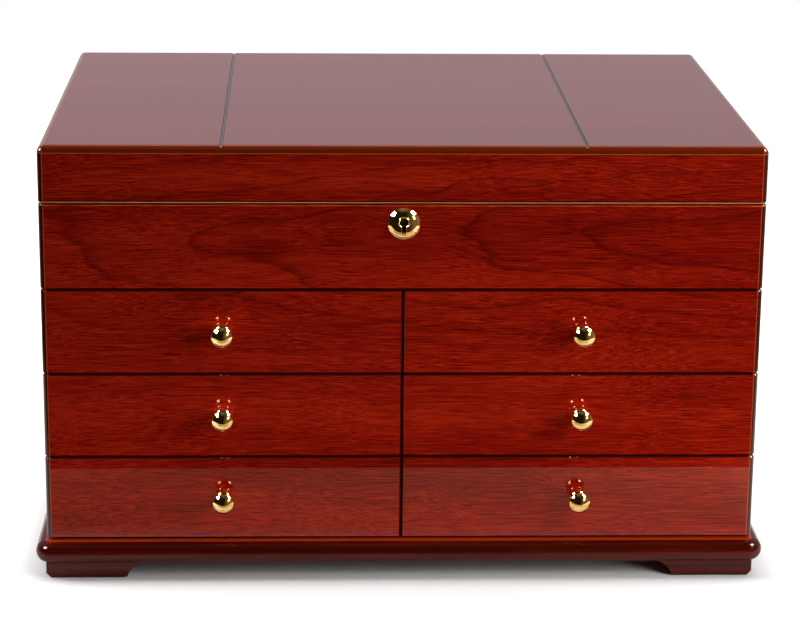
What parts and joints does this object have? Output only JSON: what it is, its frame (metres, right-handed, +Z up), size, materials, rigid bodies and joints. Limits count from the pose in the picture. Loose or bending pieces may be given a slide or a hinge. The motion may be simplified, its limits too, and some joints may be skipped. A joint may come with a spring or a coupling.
{
  "type": "cigar humidor",
  "caption": "Gloss cherry chest humidor: cedar-lined top with hinged grooved lid and lock, over drawers with brass ball knobs, on a bullnose plinth with bracket feet.",
  "frame": {"origin": "middle of the underside, where the felt pads rest", "axes": "+X to the right of someone facing the front, +Y towards the back, +Z up"},
  "size_m": [0.433, 0.329, 0.2616],
  "materials": {
    "lacquered_cherry": "high gloss red-brown lacquer over cherry veneer",
    "cedar": "planed, unfinished Spanish cedar",
    "shelf_ply": "planed, unfinished",
    "polished_brass": "polished",
    "lock_steel": "plain",
    "felt": "felt",
    "clear_glass": "clear",
    "needle_black": "satin black",
    "humidifier_black": "matt",
    "sponge_green": "foam"
  },
  "bodies": {
    "case": {"left_side": "lacquered_cherry", "right_side": "lacquered_cherry", "back_panel": "lacquered_cherry", "front_panel": "lacquered_cherry", "chest_floor": "cedar", "upper_shelf": "shelf_ply", "lower_shelf": "shelf_ply", "column_dividers": "shelf_ply", "base_board": "shelf_ply", "plinth": "lacquered_cherry", "foot_front_left": "lacquered_cherry", "foot_front_right": "lacquered_cherry", "foot_rear_left": "lacquered_cherry", "foot_rear_right": "lacquered_cherry", "foot_pads": "felt", "cedar_lining": "cedar", "escutcheon": "polished_brass", "lock_case": "polished_brass", "hinge_case_leaves": "polished_brass", "hinge_pins": "polished_brass", "case_screws": "polished_brass"},
    "lid": {"lid_top": "lacquered_cherry", "lid_frame": "lacquered_cherry", "lid_lining": "cedar", "hygrometer_case": "polished_brass", "hygrometer_glass": "clear_glass", "humidifier_case": "humidifier_black", "humidifier_sponge": "sponge_green", "humidifier_grille": "humidifier_black", "link_plate": "polished_brass", "hinge_lid_leaves": "polished_brass", "lid_screws": "polished_brass"},
    "hygrometer_needle_body": {"hygrometer_needle": "needle_black"},
    "lock_bolt_body": {"lock_bolt": "lock_steel"},
    "chest_divider_left_body": {"chest_divider_left": "cedar"},
    "chest_divider_right_body": {"chest_divider_right": "cedar"},
    "drawer_top_left": {"drawer_top_left_front": "lacquered_cherry", "drawer_top_left_box": "cedar", "drawer_top_left_bottom": "cedar", "drawer_top_left_knob": "polished_brass"},
    "drawer_top_right": {"drawer_top_right_front": "lacquered_cherry", "drawer_top_right_box": "cedar", "drawer_top_right_bottom": "cedar", "drawer_top_right_knob": "polished_brass"},
    "drawer_middle_left": {"drawer_middle_left_front": "lacquered_cherry", "drawer_middle_left_box": "cedar", "drawer_middle_left_bottom": "cedar", "drawer_middle_left_knob": "polished_brass"},
    "drawer_middle_right": {"drawer_middle_right_front": "lacquered_cherry", "drawer_middle_right_box": "cedar", "drawer_middle_right_bottom": "cedar", "drawer_middle_right_knob": "polished_brass"},
    "drawer_bottom_left": {"drawer_bottom_left_front": "lacquered_cherry", "drawer_bottom_left_box": "cedar", "drawer_bottom_left_bottom": "cedar", "drawer_bottom_left_knob": "polished_brass"},
    "drawer_bottom_right": {"drawer_bottom_right_front": "lacquered_cherry", "drawer_bottom_right_box": "cedar", "drawer_bottom_right_bottom": "cedar", "drawer_bottom_right_knob": "polished_brass"}
  },
  "joints": [
    {"name": "lid_hinge", "type": "hinge", "parent": "case", "child": "lid", "pos_m": [0, 0.1605, 0.228], "axis": [-1, 0, 0], "range_deg": [0, 95]},
    {"name": "drawer_top_left_slide", "type": "slide", "parent": "case", "child": "drawer_top_left", "axis": [0, -1, 0], "range_m": [0, 0.2]},
    {"name": "drawer_top_right_slide", "type": "slide", "parent": "case", "child": "drawer_top_right", "axis": [0, -1, 0], "range_m": [0, 0.2]},
    {"name": "drawer_middle_left_slide", "type": "slide", "parent": "case", "child": "drawer_middle_left", "axis": [0, -1, 0], "range_m": [0, 0.2]},
    {"name": "drawer_middle_right_slide", "type": "slide", "parent": "case", "child": "drawer_middle_right", "axis": [0, -1, 0], "range_m": [0, 0.2]},
    {"name": "drawer_bottom_left_slide", "type": "slide", "parent": "case", "child": "drawer_bottom_left", "axis": [0, -1, 0], "range_m": [0, 0.2]},
    {"name": "drawer_bottom_right_slide", "type": "slide", "parent": "case", "child": "drawer_bottom_right", "axis": [0, -1, 0], "range_m": [0, 0.2]},
    {"name": "chest_divider_left_slide", "type": "slide", "parent": "case", "child": "chest_divider_left_body", "axis": [1, 0, 0], "range_m": [-0.12, 0.06]},
    {"name": "chest_divider_right_slide", "type": "slide", "parent": "case", "child": "chest_divider_right_body", "axis": [1, 0, 0], "range_m": [-0.06, 0.12]},
    {"name": "lock_bolt_slide", "type": "slide", "parent": "case", "child": "lock_bolt_body", "axis": [1, 0, 0], "range_m": [0, 0.004]},
    {"name": "hygrometer_needle_turn", "type": "hinge", "parent": "lid", "child": "hygrometer_needle_body", "pos_m": [0.112, 0.007, 0.2465], "axis": [0, 0, 1], "range_deg": [-130, 130]}
  ]
}
